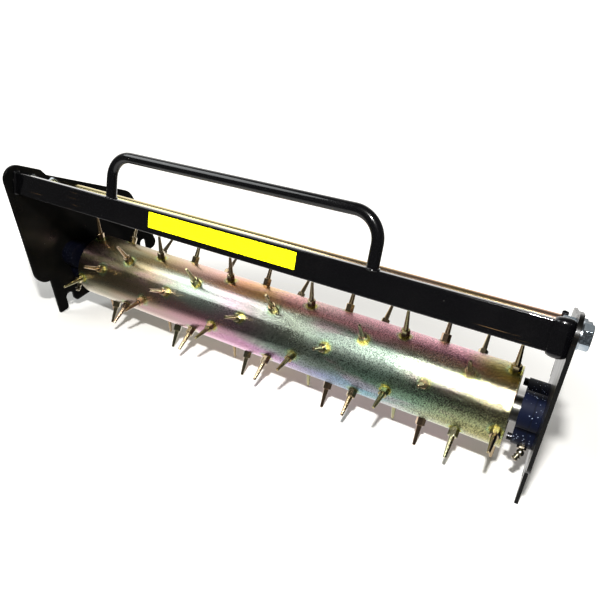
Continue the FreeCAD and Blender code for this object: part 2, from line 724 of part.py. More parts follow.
def make_tine_row(row, angle, first, count):
    """One straight row of spikes: a stud through the tube, a hexagon on its seat and a long cone."""
    body = new_body(f"tine_row_{row:02d}")
    stem = f"tine_{row:02d}"
    profile = new_sketch(body, stem + "_profile", "XZ_Plane")
    draw_outline(profile, [
        ("0", "stud_root"), ("stud_radius", "stud_root"), ("stud_radius", "seat_level + stud_rise"),
        ("cone_base", "seat_level + hex_height"), ("cone_end", "tip_reach - blunt_height"),
        ("blunt_end", "tip_reach"), ("0", "tip_reach"),
    ])
    feature(body, "Revolution", stem + "_spike", profile, {}, ReferenceAxis=(profile, ["V_Axis"]))
    place = Placement(Vector(0, 0, size("seat_level")), Rotation())
    flats = new_sketch(body, stem + "_flats", "XY_Plane", place)
    corners = [(f"hex_flats / sqrt(3) * cos({60 * turn} deg)", f"hex_flats / sqrt(3) * sin({60 * turn} deg)")
               for turn in range(6)]
    draw_outline(flats, corners)
    feature(body, "Pad", stem + "_hexagon", flats, {"Length": "hex_height"})
    bevel = new_sketch(body, stem + "_bevel", "XZ_Plane")
    draw_outline(bevel, [
        ("bevel_radius", "seat_level + hex_height"),
        ("hex_flats", "seat_level + hex_height"),
        ("hex_flats", "seat_level + hex_height - bevel_drop"),
    ])
    cutter = feature(body, "Groove", stem + "_bevelling", bevel, {}, ReferenceAxis=(bevel, ["V_Axis"]))
    pattern = body.newObject("PartDesign::LinearPattern", stem + "_line")
    pattern.Originals = [doc.getObject(stem + "_spike"), doc.getObject(stem + "_hexagon"), cutter]
    pattern.Direction = (origin_part(body, "X_Axis"), [""])
    pattern.Occurrences = count
    bind(pattern, {"Length": f"{count - 1} * tine_pitch"})
    body.Tip = pattern
    body.Placement = on_roller(first - DRUM_END, Rotation(X_AXIS, angle))


def make_end_disc(name, side):
    item = ring(name + "_disc", "drum_radius - drum_wall - fit_gap", "shaft_radius + fit_gap", "disc_thick")
    item.Placement = on_roller(side * (DRUM_END - size("disc_recess")), facing(-side))
    register(name + "_end_disc", item)


def make_shaft():
    """A through shaft with a turned-down journal at each end."""
    half_core = DRUM_END - size("disc_recess")
    half_shaft = PLATE_FACE - size("flange_thick") / 2
    core = cylinder("shaft_core", "shaft_radius", 2 * half_core, Vector(0, 0, -half_core))
    journals = cylinder("shaft_journals", "journal_radius", 2 * half_shaft, Vector(0, 0, -half_shaft))
    item = register("roller_shaft", fuse("shaft", [core, journals]))
    item.Placement = on_roller(0, facing(RIGHT))


def make_collar(name, side):
    """A spacer between the end disc and the bearing's inner ring."""
    start = DRUM_END - size("disc_recess")
    length = PLATE_FACE - size("flange_thick") - size("race_width") - start
    item = ring(name + "_collar", "collar_radius", "journal_radius + fit_gap", length)
    item.Placement = on_roller(side * start, facing(side))
    register(name + "_spacer_collar", item)


# ------------------------------------------------------- the assembly

for name, side in SIDES.items():
    make_side_plate(name, side)
    make_lug_bolts(name, side)
    make_housing(name, side)
    make_cover(name, side)
    make_cover_screws(name, side)
    make_housing_screws(name, side)
    make_grease_nipple(name, side)
    make_seal(name, side)
    make_race(name + "_bearing_outer_ring", "race_outside", "outer_land", side, bearing_place_on_frame)
    make_race(name + "_bearing_inner_ring", "inner_land", "journal_radius + fit_gap / 2",
              side, bearing_place_on_roller)
    make_balls(name, side)
    make_end_disc(name, side)
    make_collar(name, side)
make_crossbar()
make_handle()
make_label()
make_tie_rod()
make_lock_screw()
make_rod_bolts()
make_drum()
make_shaft()
for row in tine_rows():
    make_tine_row(*row)

doc.recompute()

for item in doc.Objects:
    if "Invalid" in item.State or "Error" in item.State:
        raise RuntimeError(f"{item.Name} did not recompute: {item.State}")
for item in doc.Objects:
    if item.TypeId in ("PartDesign::Pocket", "PartDesign::Groove", "PartDesign::SubtractiveCone"):
        if item.Shape.Volume > item.BaseFeature.Shape.Volume - 0.01:
            raise RuntimeError(f"{item.Name} cuts nothing")
for label, item in nodes.items():
    if item.Shape.isNull() or not item.Shape.isValid():
        raise RuntimeError(f"{label} has no valid shape")
for label, item in nodes.items():
    item.Shape.exportStep(f"parts/{label}.step")
    print(f"{label}: {len(item.Shape.Solids)} solids, {item.Shape.Volume / 1000:.2f} cm3")
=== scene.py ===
import json
import math

import bmesh
import bpy
from mathutils import Matrix, Vector, noise


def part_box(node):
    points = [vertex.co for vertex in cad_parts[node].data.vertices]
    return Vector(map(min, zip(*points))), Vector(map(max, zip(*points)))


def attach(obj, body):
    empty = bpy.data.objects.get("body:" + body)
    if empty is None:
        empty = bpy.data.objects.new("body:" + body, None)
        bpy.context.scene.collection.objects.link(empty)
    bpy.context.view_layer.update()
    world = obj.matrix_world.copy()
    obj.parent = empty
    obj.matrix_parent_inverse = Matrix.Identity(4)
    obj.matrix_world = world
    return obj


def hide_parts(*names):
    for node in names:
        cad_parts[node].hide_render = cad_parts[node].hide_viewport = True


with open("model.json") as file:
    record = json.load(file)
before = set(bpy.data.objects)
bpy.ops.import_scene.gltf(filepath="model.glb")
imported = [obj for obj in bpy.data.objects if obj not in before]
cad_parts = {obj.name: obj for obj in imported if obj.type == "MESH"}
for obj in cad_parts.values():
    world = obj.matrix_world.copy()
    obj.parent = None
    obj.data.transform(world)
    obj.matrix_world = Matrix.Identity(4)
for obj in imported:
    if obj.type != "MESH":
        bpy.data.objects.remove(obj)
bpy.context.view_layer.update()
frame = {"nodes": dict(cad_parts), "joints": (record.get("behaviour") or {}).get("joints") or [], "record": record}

# ------------------------------------------------------- places, from the frame

MM = 0.001
NODES = frame["nodes"]
AXIS = Vector(frame["joints"][0]["pos_m"])
PLATE_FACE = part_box("right_side_plate")[0].x
BAR_LOW, BAR_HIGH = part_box("crossbar")
HANDLE_LOW, HANDLE_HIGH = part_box("carry_handle")
DRUM_LOW, DRUM_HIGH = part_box("drum_tube")
DRUM_RADIUS = (DRUM_HIGH.z - DRUM_LOW.z) / 2
SIDES = {"left": -1, "right": 1}

# The spikes' rows: 12 round the drum, each a third of a pitch further along than the last.
TINE_PITCH = 100 * MM
TINE_FIRST = DRUM_LOW.x + 6 * MM
ROW_STEP = math.radians(30)
ROW_FIRST = math.radians(45)

# The line of the mould on a bearing housing, from its plate.
PARTING_LINE = 6.5 * MM


# ------------------------------------------------------- node helpers

class NodeTree:
    """A node tree, written as a chain of calls."""

    def __init__(self, tree):
        self.tree = tree

    def node(self, kind, inputs=(), **settings):
        item = self.tree.nodes.new(kind)
        for key, value in settings.items():
            setattr(item, key, value)
        for key, value in dict(inputs).items():
            if isinstance(value, bpy.types.NodeSocket):
                self.tree.links.new(value, item.inputs[key])
            else:
                item.inputs[key].default_value = value
        return item

    def place(self):
        return self.node("ShaderNodeTexCoord").outputs["Object"]

    def math(self, operation, first, second=0.0):
        return self.node("ShaderNodeMath", {0: first, 1: second}, operation=operation).outputs[0]

    def stretch(self, vector, scale):
        return self.node("ShaderNodeMapping", {"Vector": vector, "Scale": scale}).outputs[0]

    def noise(self, vector, scale, detail=3.0, roughness=0.5):
        return self.node("ShaderNodeTexNoise", {
            "Vector": vector, "Scale": scale, "Detail": detail, "Roughness": roughness}).outputs[0]

    def specks(self, vector, scale, size):
        """White spots of the given size, in cells, scattered one to a cell."""
        cell = self.node("ShaderNodeTexVoronoi", {"Vector": vector, "Scale": scale})
        return self.ramp(cell.outputs["Distance"], [(0, 1), (size, 1), (size * 1.5, 0)])

    def ramp(self, factor, stops):
        """Colours, or greys given as one number, at places from 0 to 1."""
        item = self.node("ShaderNodeValToRGB", {"Fac": factor})
        bar = item.color_ramp
        while len(bar.elements) < len(stops):
            bar.elements.new(0.5)
        for element, (position, colour) in zip(bar.elements, stops):
            element.position = position
            grey = (colour, colour, colour)
            element.color = (*(colour if isinstance(colour, tuple) else grey), 1)
        return item.outputs[0]

    def mix(self, factor, first, second, blend="MIX"):
        item = self.node("ShaderNodeMix", {0: factor}, data_type="RGBA", blend_type=blend)
        for index, value in ((6, first), (7, second)):
            if isinstance(value, bpy.types.NodeSocket):
                self.tree.links.new(value, item.inputs[index])
            else:
                item.inputs[index].default_value = (*value, 1)
        return item.outputs[2]

    def span(self, value, low, high, new_low=0.0, new_high=1.0):
        """Eases from new_low at low to new_high at high, and stays there beyond them."""
        item = self.node("ShaderNodeMapRange", {
            "Value": value, "From Min": low, "From Max": high,
            "To Min": new_low, "To Max": new_high}, interpolation_type="SMOOTHSTEP")
        return item.outputs[0]

    def bump(self, height, strength, depth, base=None):
        inputs = {"Height": height, "Strength": strength, "Distance": depth}
        if base is not None:
            inputs["Normal"] = base
        return self.node("ShaderNodeBump", inputs).outputs[0]

    def rounded(self, radius):
        """The surface normal, as if sharp edges had this radius."""
        return self.node("ShaderNodeBevel", {"Radius": radius}, samples=4).outputs[0]


class Recipe(NodeTree):
    """A material with one Principled shader."""

    def __init__(self, name, **settings):
        self.material = bpy.data.materials.new(name)
        self.material.use_nodes = True
        super().__init__(self.material.node_tree)
        self.shader = self.tree.nodes["Principled BSDF"]
        for key, value in settings.items():
            self.set(key.replace("_", " "), value)

    def set(self, socket, value):
        target = self.shader.inputs[socket]
        if isinstance(value, bpy.types.NodeSocket):
            self.tree.links.new(value, target)
        else:
            target.default_value = value

    def around_axis(self):
        """x along the roller and the angle about its axis, from straight up towards the front."""
        parts = self.node("ShaderNodeSeparateXYZ", {0: self.place()})
        front = self.math("SUBTRACT", AXIS.y, parts.outputs[1])
        up = self.math("SUBTRACT", parts.outputs[2], AXIS.z)
        return parts.outputs[0], self.math("ARCTAN2", front, up)

    def tine_lattice(self):
        """Distance over the drum from the nearest spike's axis, and a number for each spike."""
        x, angle = self.around_axis()
        row = self.math("DIVIDE", self.math("ADD", angle, ROW_FIRST), ROW_STEP)
        whole = self.math("ROUND", row)
        across = self.math("MULTIPLY", self.math("SUBTRACT", row, whole), ROW_STEP * DRUM_RADIUS)
        along = self.math("DIVIDE", self.math("SUBTRACT", x, TINE_FIRST), TINE_PITCH)
        along = self.math("ADD", along, self.math("DIVIDE", self.math("SUBTRACT", whole, 2.0), 3.0))
        place = self.math("ROUND", along)
        offset = self.math("MULTIPLY", self.math("SUBTRACT", along, place), TINE_PITCH)
        distance = self.math("POWER", self.math("ADD", self.math("POWER", across, 2.0),
                                                self.math("POWER", offset, 2.0)), 0.5)
        key = self.node("ShaderNodeCombineXYZ", {0: whole, 1: place}).outputs[0]
        number = self.node("ShaderNodeTexWhiteNoise", {"Vector": key}, noise_dimensions="3D")
        return distance, number.outputs[0]


# ------------------------------------------------------- materials

def drum_zinc():
    """Yellow-passivated zinc: gold, pink and green tints along the tube, in bands round it whose brightness is
    painted highlight and painted reflection, and a grain.
    """
    r = Recipe("drum_zinc", Metallic=1.0)
    x, angle = r.around_axis()
    place = r.place()
    drift = r.noise(r.stretch(place, (3, 12, 12)), 1.6, 2.0)
    cloud = r.noise(r.stretch(place, (8, 30, 30)), 1.5, 3.0)
    shift = r.math("MULTIPLY", r.math("SUBTRACT", drift, 0.5), 0.10)
    along = r.span(r.math("ADD", x, shift), DRUM_LOW.x, DRUM_HIGH.x)
    # The colours along the tube, in four bands from its top to its underside. The tints are the zinc's, but the
    # bands' brightness is painted light: a painted highlight along the middle band, painted dark reflections in
    # the low band, painted shade at the right of the middle band, and a painted reflection of the floor on the
    # underside.
    top = r.ramp(along, [
        (0.0, (0.24, 0.19, 0.10)), (0.14, (0.54, 0.42, 0.20)), (0.30, (0.82, 0.50, 0.42)),
        (0.42, (0.90, 0.46, 0.24)), (0.50, (0.84, 0.50, 0.20)), (0.58, (0.82, 0.40, 0.36)),
        (0.72, (0.80, 0.40, 0.44)), (0.975, (0.82, 0.38, 0.46)), (0.99, (0.60, 0.46, 0.20)),
        (1.0, (0.66, 0.56, 0.14))])
    middle = r.ramp(along, [
        (0.0, (0.20, 0.17, 0.10)), (0.05, (0.27, 0.23, 0.13)), (0.13, (0.58, 0.47, 0.28)),
        (0.22, (0.66, 0.76, 0.64)), (0.30, (0.70, 0.74, 0.68)), (0.38, (0.84, 0.64, 0.70)),
        (0.46, (0.78, 0.66, 0.64)), (0.53, (0.84, 0.90, 0.76)), (0.62, (0.66, 0.74, 0.58)),
        (0.71, (0.28, 0.34, 0.29)), (0.87, (0.24, 0.30, 0.25)), (0.95, (0.60, 0.64, 0.48)),
        (1.0, (0.64, 0.58, 0.34))])
    low = r.ramp(along, [
        (0.0, (0.36, 0.28, 0.16)), (0.14, (0.62, 0.44, 0.32)), (0.28, (0.84, 0.44, 0.52)),
        (0.42, (0.70, 0.42, 0.52)), (0.55, (0.44, 0.54, 0.46)), (0.7, (0.27, 0.34, 0.28)),
        (0.85, (0.22, 0.36, 0.27)), (0.94, (0.32, 0.50, 0.34)), (1.0, (0.58, 0.60, 0.30))])
    under = r.ramp(along, [
        (0.0, (0.56, 0.50, 0.36)), (0.14, (0.66, 0.46, 0.42)), (0.28, (0.78, 0.44, 0.56)),
        (0.45, (0.82, 0.42, 0.66)), (0.6, (0.64, 0.44, 0.66)), (0.72, (0.46, 0.50, 0.74)),
        (0.85, (0.34, 0.62, 0.72)), (0.93, (0.46, 0.64, 0.52)), (1.0, (0.56, 0.52, 0.20))])
    # Mixed by the angle round the axis, so the painted highlight and reflections sit on the tube and turn with it.
    wobble = r.math("MULTIPLY", r.math("SUBTRACT", cloud, 0.5), 0.7)
    turn = r.math("ADD", angle, wobble)
    colour = r.mix(r.span(turn, 0.46, 0.78), top, middle)
    colour = r.mix(r.span(turn, 1.20, 1.70), colour, low)
    colour = r.mix(r.span(turn, 1.75, 2.15), colour, under)
    # Pink and green clouds over them.
    pink = r.span(cloud, 0.52, 0.66)
    colour = r.mix(r.math("MULTIPLY", pink, 0.35), colour, (0.80, 0.42, 0.52))
    green = r.span(cloud, 0.46, 0.32)
    colour = r.mix(r.math("MULTIPLY", green, 0.22), colour, (0.42, 0.58, 0.44))
    # A ragged green halo and a yellow ring round each spike's seat.
    distance, number = r.tine_lattice()
    ragged = r.math("MULTIPLY", r.math("SUBTRACT", r.noise(place, 420, 2.0), 0.5), 0.0045)
    distance = r.math("ADD", distance, ragged)
    halo = r.span(distance, 0.0098, 0.0064)
    ring = r.span(distance, 0.0066, 0.0056)
    colour = r.mix(r.math("MULTIPLY", halo, 0.40), colour, (0.50, 0.80, 0.44))
    ring = r.math("MULTIPLY", ring, r.span(number, 0.1, 0.8, 0.15, 0.62))
    colour = r.mix(ring, colour, (0.95, 0.84, 0.12))
    # Dark and bright grains, which grow towards the right.
    glitter = r.ramp(r.noise(place, 1150, 1.0, 0.7), [(0.41, 0.16), (0.52, 0.95), (0.62, 1.0)])
    glinting = r.mix(1.0, colour, glitter, "MULTIPLY")
    colour = r.mix(r.span(along, 0.15, 0.75, 0.15, 0.95), colour, glinting)
    grain = r.noise(place, 1300, 2.0, 0.6)
    streak = r.noise(r.stretch(place, (4, 700, 700)), 1.0, 2.0)
    r.set("Base Color", colour)
    # Satin at the left end and matte right of the middle.
    speckle = r.span(along, 0.30, 0.75, 0.08, 0.50)
    satin = r.span(along, 0.75, 0.05, 0.0, 0.12)
    matte = r.ramp(along, [(0.58, 0.0), (0.70, 0.20), (0.86, 0.20), (0.95, 0.0)])
    rough = r.math("ADD", r.span(grain, 0.3, 0.7, 0.13, 0.22), satin)
    r.set("Roughness", r.math("ADD", rough, matte))
    normal = r.bump(grain, speckle, 0.0006)
    r.set("Normal", r.bump(streak, 0.10, 0.0003, normal))
    return r.material


def rod_zinc():
    """The same zinc on a turned rod: gold at the left, pinkish brown at the right."""
    r = Recipe("rod_zinc", Metallic=1.0)
    place = r.place()
    x = r.node("ShaderNodeSeparateXYZ", {0: place}).outputs[0]
    band = r.noise(r.stretch(place, (9, 90, 90)), 1.0, 2.0)
    gold = r.ramp(band, [
        (0.3, (0.62, 0.50, 0.22)), (0.5, (0.84, 0.70, 0.36)), (0.7, (0.60, 0.56, 0.24))])
    pink = r.ramp(band, [
        (0.3, (0.62, 0.42, 0.26)), (0.5, (0.84, 0.56, 0.42)), (0.7, (0.70, 0.52, 0.26))])
    grain = r.noise(place, 1500, 2.0)
    r.set("Base Color", r.mix(r.span(x, -0.05, 0.20), gold, pink))
    r.set("Roughness", r.span(grain, 0.3, 0.7, 0.16, 0.26))
    r.set("Normal", r.bump(r.noise(r.stretch(place, (60, 900, 900)), 1.0), 0.08, 0.0002))
    return r.material


def tine_zinc():
    """Each spike has its own tint, from pinkish brown to greenish gold."""
    r = Recipe("tine_zinc", Metallic=1.0)
    _, number = r.tine_lattice()
    place = r.place()
    tint = r.ramp(number, [
        (0.0, (0.50, 0.33, 0.23)), (0.3, (0.46, 0.36, 0.20)), (0.5, (0.62, 0.46, 0.34)),
        (0.7, (0.46, 0.42, 0.22)), (0.85, (0.44, 0.44, 0.26)), (1.0, (0.62, 0.52, 0.38))])
    patch = r.noise(place, 160, 2.0)
    colour = r.mix(r.math("MULTIPLY", r.span(patch, 0.4, 0.65), 0.4), tint, (0.74, 0.58, 0.36))
    grain = r.noise(place, 1500, 2.0)
    r.set("Base Color", colour)
    r.set("Roughness", r.span(grain, 0.3, 0.7, 0.10, 0.20))
    r.set("Normal", r.bump(grain, 0.08, 0.0002, r.rounded(0.0003)))
    return r.material


def black_paint(name, colour, roughness, dust, shine):
    """Black paint: orange peel, faint scratches, dust, and brown rubs on the glossy bar."""
    r = Recipe(name, Coat_Weight=shine, Coat_Roughness=0.03, Specular_IOR_Level=0.12)
    place = r.place()
    peel = r.noise(place, 260, 2.0)
    cloud = r.noise(place, 22, 4.0, 0.6)
    scratch = r.noise(r.stretch(place, (30, 420, 420)), 1.0, 3.0)
    worn = r.math("MULTIPLY", r.span(cloud, 0.45, 0.75), dust)
    tone = r.mix(worn, colour, (0.10, 0.09, 0.08))
    specks = r.math("MULTIPLY", r.specks(place, 150, 0.035), r.span(r.noise(place, 40), 0.58, 0.64))
    tone = r.mix(r.math("MULTIPLY", specks, 0.6), tone, (0.24, 0.23, 0.21))
    rub = r.span(r.noise(r.stretch(place, (9, 160, 900)), 1.0, 1.0), 0.65, 0.69)
    rub = r.math("MULTIPLY", rub, r.span(r.noise(r.stretch(place, (14, 60, 60)), 1.0), 0.50, 0.62))
    height = r.node("ShaderNodeSeparateXYZ", {0: place}).outputs[2]
    rub = r.math("MULTIPLY", rub, r.span(height, BAR_HIGH.z - 1 * MM, BAR_HIGH.z - 3 * MM))
    tone = r.mix(r.math("MULTIPLY", rub, shine), tone, (0.13, 0.075, 0.03))
    r.set("Base Color", tone)
    r.set("Roughness", r.span(cloud, 0.3, 0.7, roughness, roughness + 0.08))
    normal = r.bump(peel, 0.05, 0.0005, r.rounded(0.0006))
    normal = r.bump(scratch, 0.03, 0.0003, normal)
    r.set("Normal", normal)
    r.set("Coat Normal", normal)
    return r.material


def navy_paint():
    """Rough cast iron under navy paint, with pale specks and the line of the mould, and painted shade that darkens
    the housing on the left.
    """
    r = Recipe("navy_paint", Specular_IOR_Level=0.08)
    place = r.place()
    x = r.node("ShaderNodeSeparateXYZ", {0: place}).outputs[0]
    from_plate = r.math("SUBTRACT", PLATE_FACE, r.math("ABSOLUTE", x))
    line = r.span(r.math("ABSOLUTE", r.math("SUBTRACT", from_plate, PARTING_LINE)), 0.0007, 0.0002)
    cloud = r.noise(place, 60, 3.0)
    specks = r.math("MULTIPLY", r.specks(place, 420, 0.13), r.span(r.noise(place, 40), 0.42, 0.54))
    # Painted shade: towards the left the housing is made darker and its pale specks are thinned.
    right = r.span(x, -0.2, 0.2)
    specks = r.math("MULTIPLY", specks, r.span(right, 0.0, 1.0, 0.05, 0.9))
    tone = r.mix(cloud, (0.0012, 0.0022, 0.009), (0.0025, 0.005, 0.018))
    # Painted shade: a darker navy on the left housing.
    tone = r.mix(right, (0.001, 0.0013, 0.004), tone)
    tone = r.mix(r.math("MULTIPLY", line, 0.8), tone, (0.002, 0.003, 0.008))
    r.set("Base Color", r.mix(specks, tone, (0.40, 0.48, 0.66)))
    r.set("Roughness", r.span(cloud, 0.3, 0.7, 0.48, 0.62))
    normal = r.bump(r.noise(place, 340, 3.0), 0.25, 0.0004)
    r.set("Normal", r.bump(line, 0.6, -0.0003, normal))
    return r.material


def plain_metal(name, dark, light, rough):
    """Plated or bare steel, cloudy, with a fine grain and rounded edges."""
    r = Recipe(name, Metallic=1.0)
    place = r.place()
    cloud = r.noise(place, 120, 3.0)
    grain = r.noise(place, 900, 2.0)
    r.set("Base Color", r.mix(r.span(cloud, 0.35, 0.65), dark, light))
    r.set("Roughness", r.span(grain, 0.3, 0.7, rough, rough + 0.10))
    r.set("Normal", r.bump(cloud, 0.06, 0.0003, r.rounded(0.0004)))
    return r.material


def rubber():
    """The seals' moulded rubber."""
    r = Recipe("black_rubber")
    place = r.place()
    r.set("Base Color", r.mix(r.noise(place, 300), (0.012, 0.012, 0.012), (0.03, 0.03, 0.03)))
    r.set("Roughness", r.span(r.noise(place, 200), 0.3, 0.7, 0.5, 0.7))
    r.set("Normal", r.bump(r.noise(place, 1200), 0.2, 0.0003))
    return r.material


def label_film():
    """Slightly wavy yellow film, with nothing printed on it."""
    r = Recipe("yellow_label", Specular_IOR_Level=0.15)
    place = r.place()
    fade = r.noise(place, 90, 2.0)
    r.set("Base Color", r.mix(fade, (1.0, 0.93, 0.0), (1.0, 0.97, 0.0)))
    r.set("Roughness", r.span(fade, 0.3, 0.7, 0.32, 0.42))
    r.set("Normal", r.bump(r.noise(place, 60), 0.1, 0.0006))
    return r.material


MATERIALS = {
    "plate_paint": black_paint("plate_paint", (0.0015, 0.0015, 0.0014), 0.26, 0.02, 0.05),
    "gloss_black_paint": black_paint(
        "gloss_black_paint", (0.0010, 0.0010, 0.0013), 0.20, 0.008, 1.0),
    "yellow_label": label_film(),
    "rod_zinc": rod_zinc(),
    "drum_zinc": drum_zinc(),
    "tine_zinc": tine_zinc(),
    "navy_paint": navy_paint(),
    "bright_zinc": plain_metal("bright_zinc", (0.36, 0.43, 0.49), (0.52, 0.58, 0.63), 0.10),
    "dark_steel": plain_metal("dark_steel", (0.06, 0.06, 0.057), (0.11, 0.11, 0.10), 0.30),
    "bearing_steel": plain_metal("bearing_steel", (0.70, 0.70, 0.72), (0.85, 0.85, 0.86), 0.08),
    "black_rubber": rubber(),
    "nipple_brass": plain_metal("nipple_brass", (0.34, 0.29, 0.20), (0.58, 0.52, 0.40), 0.14),
    "black_oxide": plain_metal("black_oxide", (0.02, 0.02, 0.022), (0.05, 0.05, 0.055), 0.22),
}


def dress_nodes():
    """Gives every CAD node the material of its slot in the record."""
    for part in frame["record"]["subparts"]:
        mesh = NODES[part["node"]]
        for slot in mesh.material_slots:
            slot.material = MATERIALS[part["material_slot"]]


# ------------------------------------------------------- added pieces

BEAD_STEP = 0.5 * MM
BEAD_SIDES = 14
RIPPLE_PITCH = 2.4 * MM
BEAD_SINK = 0.9 * MM
HANDLE_RADIUS = 5 * MM

# The nipple's turned shapes, as (radius, height) pairs in millimetres.
NIPPLE_HEXAGON = [(2.4, -3), (2.4, 0), (3.6, 0), (4.0, 0.5), (4.0, 2.6), (3.5, 3.2), (2.6, 3.2)]
NIPPLE_HEAD = [(2.1, 0), (2.1, 3.4), (3.1, 3.7), (3.1, 4.9), (2.3, 5.2), (2.3, 5.9),
               (2.9, 6.3), (2.9, 7.0), (2.2, 8.0), (1.2, 8.3), (0.6, 8.0), (0.5, 7.6)]
BALL_RADIUS = 3.4
BALL_LEVEL = 6
NIPPLE_HEIGHT = 11.1 * MM
NIPPLE_LEAN = math.radians(25)

LUG_RADIUS = 5 * MM
THREAD_PITCH = 1.5 * MM
THREAD_STEPS = 24
THREAD_ENDS = 0.4 * MM
# The ridge's section: pitches along the bolt and millimetres above its surface.
THREAD_SECTION = [(-0.45, -0.1), (-0.06, 0.35), (0.06, 0.35), (0.45, -0.1)]


def finished(name, mesh):
    """Turns a bmesh into the mesh of a piece."""
    data = bpy.data.meshes.new(name)
    mesh.to_mesh(data)
    mesh.free()
    return data


def add_piece(name, mesh, slot, body="frame"):
    piece = bpy.data.objects.new(name, mesh)
    bpy.context.scene.collection.objects.link(piece)
    for face in mesh.polygons:
        face.use_smooth = True
    mesh.materials.append(MATERIALS[slot])
    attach(piece, body)
    return piece


def circle(count):
    """The angles of points spaced evenly round a circle."""
    return [2 * math.pi * number / count for number in range(count)]


def skin(mesh, rings, closed=False):
    """Faces between each ring of vertices and the next, and over both ends unless closed."""
    pairs = list(zip(rings, rings[1:]))
    if closed:
        pairs.append((rings[-1], rings[0]))
    for first, second in pairs:
        for number in range(len(first)):
            following = (number + 1) % len(first)
            mesh.faces.new((first[number], first[following], second[following], second[number]))
    if not closed:
        mesh.faces.new(rings[0][::-1])
        mesh.faces.new(rings[-1])


def even_route(corners, closed, softness):
    """Points every step along straight runs, then smoothed, which rounds the corners."""
    runs = list(zip(corners, corners[1:]))
    if closed:
        runs.append((corners[-1], corners[0]))
    route = []
    for start, end in runs:
        count = max(1, round((end - start).length / BEAD_STEP))
        route += [start.lerp(end, index / count) for index in range(count)]
    if not closed:
        route.append(corners[-1])
    for _ in range(softness):
        smoothed = [(route[index - 1] + point + route[(index + 1) % len(route)]) / 3
                    for index, point in enumerate(route)]
        if not closed:
            smoothed[0], smoothed[-1] = route[0], route[-1]
        route = smoothed
    return route


def weld_bead(name, corners, radius, side, closed=False, softness=8, spread=1.0):
    """A lumpy bead of weld with its ripples, along a route in the plane square to side."""
    route = even_route(corners, closed, softness)
    length = len(route) * BEAD_STEP
    mesh = bmesh.new()
    rings = []
    for index, point in enumerate(route):
        before = route[index - 1] if closed or index else point
        after = route[(index + 1) % len(route)] if closed or index < len(route) - 1 else point
        out = (after - before).normalized().cross(side)
        travelled = index * BEAD_STEP
        ripple = 0.97 + 0.03 * abs(math.sin(math.pi * travelled / RIPPLE_PITCH))
        lump = 1 + 0.30 * noise.noise(point * 120)
        size = radius * ripple * lump
        if not closed:
            end = min(travelled, length - travelled) / radius
            size *= math.sqrt(max(0.02, 1 - (1 - min(end, 1)) ** 2))
        section = [spread * math.cos(turn) * side + math.sin(turn) * out
                   for turn in circle(BEAD_SIDES)]
        rings.append([mesh.verts.new(point + size * offset) for offset in section])
    skin(mesh, rings, closed)
    bmesh.ops.recalc_face_normals(mesh, faces=mesh.faces)
    add_piece(name, finished(name, mesh), "gloss_black_paint")


def weld_crossbar():
    """A bead round three sides of each end: a fat one on the right, a thin one on the left."""
    for side, radius, spread in (("left", 1.8 * MM, 1.2), ("right", 3.2 * MM, 2.3)):
        x = SIDES[side] * (PLATE_FACE - radius * spread + BEAD_SINK)
        front = BAR_LOW.y
        back = BAR_HIGH.y - 1 * MM
        corners = [Vector((x, back, BAR_LOW.z)), Vector((x, front, BAR_LOW.z)),
                   Vector((x, front, BAR_HIGH.z)), Vector((x, back, BAR_HIGH.z))]
        weld_bead(side + "_bar_weld", corners, radius, Vector((1, 0, 0)), spread=spread)


def weld_handle():
    """A bead round each foot of the carry handle."""
    radius = HANDLE_RADIUS
    middle = (HANDLE_LOW.y + HANDLE_HIGH.y) / 2
    for side, x in (("left", HANDLE_LOW.x + radius), ("right", HANDLE_HIGH.x - radius)):
        ring = [Vector((x + radius * math.cos(turn), middle + radius * math.sin(turn), BAR_HIGH.z))
                for turn in circle(12)]
        weld_bead(side + "_handle_weld", ring, 1.2 * MM, Vector((0, 0, 1)), closed=True, softness=1)


def turned(mesh, profile, place, around=24):
    """Adds a shape turned about Z, from (radius, height) pairs in millimetres."""
    rings = []
    for radius, height in profile:
        points = [Vector((radius * math.cos(turn), radius * math.sin(turn), height))
                  for turn in circle(around)]
        rings.append([mesh.verts.new(place @ (MM * point)) for point in points])
    skin(mesh, rings)


def grease_nipples():
    """Angled nipples: a hexagon, a ball, and a ribbed head that leans towards the drum."""
    for side, sign in SIDES.items():
        plain = side + "_grease_nipple"
        name = side + "_angled_nipple"
        points = [vertex.co for vertex in NODES[plain].data.vertices]
        centre = sum(points, Vector()) / len(points)
        out = Vector((0, centre.y - AXIS.y, centre.z - AXIS.z)).normalized()
        tip = max((point - AXIS).dot(out) for point in points)
        inward = Vector((-sign, 0, 0))
        foot = AXIS + Vector((centre.x, 0, 0)) + (tip - NIPPLE_HEIGHT) * out
        upright = Matrix((inward, out.cross(inward), out)).transposed().to_4x4()
        base = Matrix.Translation(foot) @ upright
        raised = Matrix.Translation((0, 0, BALL_LEVEL * MM))
        head = base @ raised @ Matrix.Rotation(NIPPLE_LEAN, 4, "Y")
        ball = [(BALL_RADIUS * math.cos(turn), BALL_LEVEL + BALL_RADIUS * math.sin(turn))
                for turn in (math.radians(angle) for angle in range(-60, 90, 10))]
        mesh = bmesh.new()
        turned(mesh, NIPPLE_HEXAGON, base, 6)
        turned(mesh, ball, base)
        turned(mesh, NIPPLE_HEAD, head)
        piece = add_piece(name, finished(name, mesh), "nipple_brass")
        piece.data.set_sharp_from_angle(angle=math.radians(35))
        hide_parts(plain)


def cluster_centres(points, reach):
    """The middle of each group of points that lie within reach of its first."""
    groups = []
    for point in points:
        home = next((group for group in groups if (group[0] - point).length < reach), None)
        if home:
            home.append(point)
        else:
            groups.append([point])
    return [sum(group, Vector()) / len(group) for group in groups]


